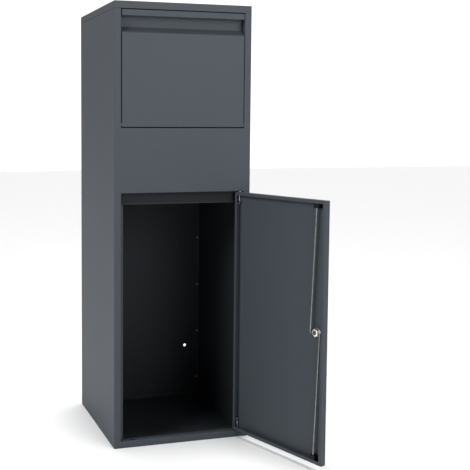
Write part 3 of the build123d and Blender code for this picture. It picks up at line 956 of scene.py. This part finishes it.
@dataclass
class Cabinet:
    """The cabinet's own small hardware: rivets, bumpers and washers."""

    dresser: Dresser
    rivet_grip: float = 3.0 * MM
    rivets_per_side: int = 8
    bumper_foot_share: float = 0.9
    bumper_side_share: float = 0.25
    bumper_head_share: float = 0.92
    bumper_round_share: float = 0.6
    bumper_steps: int = 40
    washer_thickness: float = 1.7 * MM
    washer_bore: float = 2.6 * MM
    washer_edge_share: float = 0.35
    washer_steps: int = 48

    def build(self) -> None:
        """Make the cabinet's pieces."""
        self._rivets()
        self._bumpers()
        self._washers()

    def _rivets(self) -> None:
        """Two rows of domed rivets down the back flanges."""
        low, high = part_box("back_panel_rivets")
        rows = RivetRows(self.dresser.materials[Slot.ZINC_HARDWARE], self.rivet_grip)
        side = high.x - rows.head_radius
        seat = high.y - rows.head_height
        bottom, top = low.z + rows.head_radius, high.z - rows.head_radius
        meshes = []
        for hand in (-1, 1):
            ends = [Vector((hand * side, seat, z)) for z in (bottom, top)]
            meshes.append(rows.row("rivet_row", *ends, self.rivets_per_side, Vector((0, 1, 0))))
        mesh = joined("back_rivet_domes", meshes)
        replaced = ["back_panel_rivets"]
        self.dresser.piece("back_rivet_domes", mesh, Slot.ZINC_HARDWARE, "cabinet", replaced)

    def _bumpers(self) -> None:
        """Two domed rubber bumpers on the rail behind the hatch."""
        low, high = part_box("hatch_bumpers")
        radius = (high.z - low.z) / 2
        length = high.y - low.y
        profile = [(0.0, 0.0), (radius * self.bumper_foot_share, 0.0)]
        profile.append((radius, length * self.bumper_side_share))
        head = radius * self.bumper_head_share
        profile += rounded_rim(head, length, length * self.bumper_round_share)
        profile.append((0.0, length))
        meshes = []
        for hand in (-1, 1):
            seat = Vector((hand * (high.x - radius), high.y, (low.z + high.z) / 2))
            place = along_axis(seat, Vector((0, -1, 0)))
            build = partial(add_lathe, profile=profile, steps=self.bumper_steps)
            meshes.append(mesh_from("bumper", build, place))
        mesh = joined("hatch_bumper_domes", meshes)
        self.dresser.piece("hatch_bumper_domes", mesh, Slot.BLACK_RUBBER, "cabinet", ["hatch_bumpers"])

    def _washers(self) -> None:
        """Pressed washers above and below the door, with rounded edges."""
        low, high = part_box("hinge_washers")
        radius = (high.x - low.x) / 2
        centre = (low + high) / 2
        thickness = self.washer_thickness
        edge = thickness * self.washer_edge_share
        profile = [(self.washer_bore, 0.0), (radius - edge, 0.0), (radius, edge)]
        profile += rounded_rim(radius, thickness, edge)
        profile.append((self.washer_bore, thickness))
        meshes = []
        for bottom in (low.z, high.z - thickness):
            place = Matrix.Translation((centre.x, centre.y, bottom))
            build = partial(add_lathe, profile=profile, steps=self.washer_steps, closed=True)
            meshes.append(mesh_from("washer", build, place))
        mesh = joined("hinge_washer_rings", meshes)
        self.dresser.piece("hinge_washer_rings", mesh, Slot.ZINC_HARDWARE, "cabinet", ["hinge_washers"])


@dataclass
class SpringPins:
    """The coil springs that hold the two hinge pins out."""

    dresser: Dresser
    wire: float = 0.4 * MM
    turns: float = 6.0
    steps_per_turn: int = 28
    wire_sides: int = 10

    def build(self) -> None:
        """Make both springs."""
        for end in ("upper", "lower"):
            low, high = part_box(f"{end}_hinge_spring")
            name = f"{end}_coil_spring"
            mesh = self._coil(name, low, high)
            body = f"{end}_hinge_pin_body"
            piece = self.dresser.piece(name, mesh, Slot.SPRING_STEEL, body, [f"{end}_hinge_spring"])
            joint = joint_named(f"{end}_pin_slide")
            travel = max(abs(limit) for limit in joint["range_m"])
            length = high.z - low.z
            (length - travel) / length
            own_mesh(piece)

    def _coil(self, name: str, low: Vector, high: Vector) -> bpy.types.Mesh:
        """Make one round-wire coil that fills a box.

        Args:
            name: the mesh's name.
            low: the box's lowest corner.
            high: its highest corner.

        Returns:
            The coil's mesh, in place.
        """
        middle = (low + high) / 2
        group = NodeGroup(
            name,
            {
                "Wire Radius": ("NodeSocketFloat", self.wire),
                "Coil Radius": ("NodeSocketFloat", (high.x - low.x) / 2 - self.wire),
                "Height": ("NodeSocketFloat", high.z - low.z - 2 * self.wire),
                "Turns": ("NodeSocketFloat", self.turns),
                "Steps": ("NodeSocketInt", self.steps_per_turn),
                "Seat": ("NodeSocketVector", (middle.x, middle.y, low.z + self.wire)),
            },
        )
        spiral = group.node(
            "GeometryNodeCurveSpiral",
            values={
                "Resolution": group.given("Steps"),
                "Rotations": group.given("Turns"),
                "Start Radius": group.given("Coil Radius"),
                "End Radius": group.given("Coil Radius"),
                "Height": group.given("Height"),
            },
        )
        section = group.node(
            "GeometryNodeCurvePrimitiveCircle",
            values={"Resolution": self.wire_sides, "Radius": group.given("Wire Radius")},
        )
        wire = group.node(
            "GeometryNodeCurveToMesh",
            values={"Curve": spiral.outputs[0], "Profile Curve": section.outputs[0], "Fill Caps": True},
        )
        seated = group.node(
            "GeometryNodeTransform",
            values={"Geometry": wire.outputs[0], "Translation": group.given("Seat")},
        )
        smooth = group.node("GeometryNodeSetShadeSmooth", values={"Geometry": seated.outputs[0]})
        group.finish(smooth.outputs[0], self.dresser.materials[Slot.SPRING_STEEL])
        return group.to_mesh(name)


@dataclass
class CamLock:
    """The two-point cam lock: outer bezel, thin clamping nut, pressed cam and its chrome nut."""

    dresser: Dresser
    door: OpenDoor
    thread_pitch: float = 1.25 * MM
    thread_depth: float = 0.35 * MM
    barrel_gap: float = 0.05 * MM
    barrel_end: float = 0.4 * MM
    bore_rim: float = 0.4 * MM
    flange_round_share: float = 0.45
    bezel_steps: int = 72
    cam_edge: float = 0.3 * MM
    centre: Vector = field(init=False)

    def __post_init__(self) -> None:
        """Find the lock's axis, as if the door were closed."""
        self.centre = self.door.turned.inverted() @ Vector(joint_named("lock_turn")["pos_m"])

    def build(self) -> None:
        """Make the lock's nuts, bezel and cam."""
        self._nut("cam_chrome_nut", "cam_nut", Slot.CHROME_HARDWARE, "lock_rotor")
        self._nut("lock_clamp_nut", "lock_nut", Slot.ZINC_HARDWARE, "door")
        self._bezel()
        cam = softened("pressed_lock_cam", "lock_cam", self.cam_edge)
        self.dresser.piece(cam.name, cam, Slot.ZINC_HARDWARE, "lock_rotor", ["lock_cam"])

    def _seat(self, y: float) -> Matrix:
        """A place on the lock's axis, pointing into the cabinet when the door is closed."""
        spot = Vector((self.centre.x, y, self.centre.z))
        return self.door.turned @ along_axis(spot, Vector((0, 1, 0)))

    def _nut(self, name: str, node: str, slot: Slot, body: str) -> None:
        """Make one chamfered nut in place of its plain one.

        Args:
            name: the new piece's name.
            node: the CAD node that it stands for.
            slot: its material slot.
            body: the body that it rides on.
        """
        low, high = self.door.closed_box(node)
        flats = high.x - low.x
        height = high.y - low.y
        bore = self._bore(node)
        build = partial(add_hex_nut, flats=flats, height=height, bore=bore)
        mesh = mesh_from(name, build, self._seat(low.y))
        self.dresser.piece(name, mesh, slot, body, [node])

    def _bore(self, node: str) -> float:
        """The diameter of the hole through a node, about the lock's axis."""
        spots = self.door.closed_spots(node)
        return 2 * min(math.hypot(spot.x - self.centre.x, spot.z - self.centre.z) for spot in spots)

    def _bezel(self) -> None:
        """The lock's outer flange and barrel, turned in one piece."""
        low, high = self.door.closed_box("lock_housing")
        flange = (high.x - low.x) / 2
        skin_low = self.door.closed_box("door_panel")[0].y
        depth = skin_low - low.y
        bore = self._bore("lock_housing") / 2
        barrel = self._bore("lock_nut") / 2 - self.barrel_gap
        length = high.y - low.y
        fillet = depth * self.flange_round_share
        profile = [(bore, 0.0), (bore + self.bore_rim, 0.0)]
        for radius, height in reversed(rounded_rim(flange, fillet, fillet)):
            profile.append((radius, fillet - height))
        profile += [(flange, depth), (barrel, depth)]
        turns = int((length - depth) / self.thread_pitch)
        for turn in range(turns):
            root = depth + (turn + 0.25) * self.thread_pitch
            profile.append((barrel - self.thread_depth, root))
            profile.append((barrel, root + self.thread_pitch / 2))
        profile += [(barrel - self.barrel_end, length), (bore, length)]
        build = partial(add_lathe, profile=profile, steps=self.bezel_steps, closed=True)
        mesh = mesh_from("lock_bezel", build, self._seat(low.y))
        self.dresser.piece("lock_bezel", mesh, Slot.CHROME_HARDWARE, "door", ["lock_housing"])


@dataclass
class DropHatch:
    """The hopper's rivets."""

    dresser: Dresser
    rivet_grip: float = 3.0 * MM
    rivets_per_side: int = 3

    def build(self) -> None:
        """Make the hatch's pieces."""
        boxes = loose_boxes("hopper_rivets")
        rows = RivetRows(self.dresser.materials[Slot.ZINC_HARDWARE], self.rivet_grip)
        meshes = []
        for hand in (-1, 1):
            mine = [box for box in boxes if box[0].x * hand > 0]
            ends = []
            for low, high in (mine[0], mine[-1]):
                seat = max(abs(low.x), abs(high.x)) - rows.head_height
                ends.append(Vector((hand * seat, (low.y + high.y) / 2, (low.z + high.z) / 2)))
            facing = Vector((hand, 0, 0))
            meshes.append(rows.row("chute_rivets", *ends, self.rivets_per_side, facing))
        mesh = joined("chute_rivet_domes", meshes)
        self.dresser.piece("chute_rivet_domes", mesh, Slot.ZINC_HARDWARE, "hatch", ["hopper_rivets"])


@dataclass
class DoorLeaf:
    """The door's moulded rod guides and folded hinge brackets."""

    dresser: Dresser
    guide_edge: float = 0.9 * MM
    bracket_edge: float = 0.35 * MM

    def build(self) -> None:
        """Make the door's pieces."""
        for end in ("upper", "lower"):
            guide = f"{end}_rod_guide"
            mesh = softened(f"{end}_moulded_guide", guide, self.guide_edge)
            self.dresser.piece(mesh.name, mesh, Slot.BLACK_PLASTIC, "door", [guide])
            bracket = f"{end}_hinge_bracket"
            mesh = softened(f"{end}_pressed_bracket", bracket, self.bracket_edge)
            self.dresser.piece(mesh.name, mesh, Slot.POWDER_COAT, "door", [bracket])


# ---- studio


@dataclass(frozen=True)
class SoftLight:
    """A square area light that points at a height above the object's base."""

    name: str
    spot: Triple
    aim: float
    size: float
    power: float

    def build(self) -> None:
        """Add the light to the scene."""
        data = bpy.data.lights.new(self.name, "AREA")
        data.size = self.size
        data.energy = self.power
        lamp = bpy.data.objects.new(self.name, data)
        lamp.location = self.spot
        ray = Vector((0.0, 0.0, self.aim)) - Vector(self.spot)
        lamp.rotation_euler = ray.to_track_quat("-Z", "Y").to_euler()
        bpy.context.scene.collection.objects.link(lamp)


@dataclass
class Studio:
    """The pale floor, soft light and camera."""

    lens_over_sensor: float = 907.6 / 470
    sensor: float = 36.0
    yaw: float = -16.99
    pitch: float = 4.62
    roll: float = -0.23
    stand_left: float = -0.604
    stand_back: float = -2.404
    stand_height: float = 0.914
    shift: Span = (0.16, -0.085)
    clip: Span = (0.05, 60.0)
    floor_half: float = 14.0
    floor_drop: float = 0.5 * MM
    sky_back: float = 1.0
    sky_seen: float = 1.0
    sky_front: float = 0.20
    sky_turn: Span = (-0.15, 0.25)
    left_flag: float = 0.9
    flag_turn: Span = (-0.08, 0.30)
    lights: tuple[SoftLight, ...] = (
        SoftLight("key_light", (-3.2, -1.6, 2.6), 0.7, 1.4, 76.0),
        SoftLight("fill_light", (0.8, -3.3, 1.6), 0.8, 1.5, 29.0),
        SoftLight("right_light", (2.0, -2.9, 2.4), 0.8, 1.6, 25.0),
    )
    overhead_power: float = 1.75
    overhead_spread: float = 20.0

    def build(self) -> None:
        """Make the whole studio."""
        bpy.context.scene.view_settings.view_transform = "Standard"
        bpy.context.scene.view_settings.look = "Medium High Contrast"
        self._floor()
        self._world()
        self._lights()
        self._camera()

    def _floor(self) -> None:
        """A wide pale floor."""
        mesh = bpy.data.meshes.new("studio_floor")
        reach = self.floor_half
        corners = [(-reach, -reach, 0), (reach, -reach, 0), (reach, reach, 0), (-reach, reach, 0)]
        mesh.from_pydata(corners, [], [(0, 1, 2, 3)])
        mesh.materials.append(StudioFloor().build("studio_floor"))
        floor = bpy.data.objects.new("studio_floor", mesh)
        floor.location.z = -self.floor_drop
        bpy.context.scene.collection.objects.link(floor)

    def _world(self) -> None:
        """A surround that looks plain white, but gives less light from the front and left."""
        world = bpy.data.worlds.new("studio")
        bpy.context.scene.world = world
        world.use_nodes = True
        graph = Graph(world.node_tree)
        across = graph.node("ShaderNodeTexCoord", output="Generated")
        sideways, depth, _ = graph.axes(across)
        flagged = 1.0 - (0.0 - sideways).ramp(*self.flag_turn) * self.left_flag
        behind = depth.ramp(*self.sky_turn) * flagged
        strength = self.sky_front + behind * (self.sky_back - self.sky_front)
        seen = graph.node("ShaderNodeLightPath", output="Is Camera Ray")
        strength = strength + seen * (self.sky_seen - strength)
        sky = graph.node("ShaderNodeBackground", values={"Color": WHITE, "Strength": strength})
        graph.node("ShaderNodeOutputWorld", values={"Surface": sky})

    def _lights(self) -> None:
        """The soft lights around the front, and a wide one straight overhead."""
        for light in self.lights:
            light.build()
        data = bpy.data.lights.new("overhead_light", "SUN")
        data.energy = self.overhead_power
        data.angle = math.radians(self.overhead_spread)
        bpy.context.scene.collection.objects.link(bpy.data.objects.new("overhead_light", data))

    def _camera(self) -> None:
        """A camera a little to the left, about chest height, turned to the right."""
        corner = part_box("front_frame")[0]
        yaw, pitch, roll = (math.radians(a) for a in (self.yaw, self.pitch, self.roll))
        right = Vector((math.cos(yaw), math.sin(yaw), 0.0))
        ahead = Vector((-math.sin(yaw), math.cos(yaw), 0.0))
        down = Vector((0.0, 0.0, -1.0))
        look = math.cos(pitch) * ahead + math.sin(pitch) * down
        low = -math.sin(pitch) * ahead + math.cos(pitch) * down
        side = math.cos(roll) * right + math.sin(roll) * low
        foot = -math.sin(roll) * right + math.cos(roll) * low
        data = bpy.data.cameras.new("camera")
        data.sensor_width = self.sensor
        data.lens = self.lens_over_sensor * self.sensor
        data.shift_x, data.shift_y = self.shift
        data.clip_start, data.clip_end = self.clip
        camera = bpy.data.objects.new("camera", data)
        axes = Matrix((side, -foot, -look)).transposed()
        place = Vector((corner.x + self.stand_left, corner.y + self.stand_back, self.stand_height))
        camera.matrix_world = Matrix.Translation(place) @ axes.to_4x4()
        bpy.context.scene.collection.objects.link(camera)
        bpy.context.scene.camera = camera


def main() -> None:
    logging.basicConfig(level=logging.INFO, format="%(name)s %(message)s")
    dresser = Dresser()
    dresser.dress_nodes()
    door = OpenDoor()
    Cabinet(dresser).build()
    DropHatch(dresser).build()
    DoorLeaf(dresser).build()
    SpringPins(dresser).build()
    CamLock(dresser, door).build()
    Studio().build()


if __name__ == "__main__":
    main()
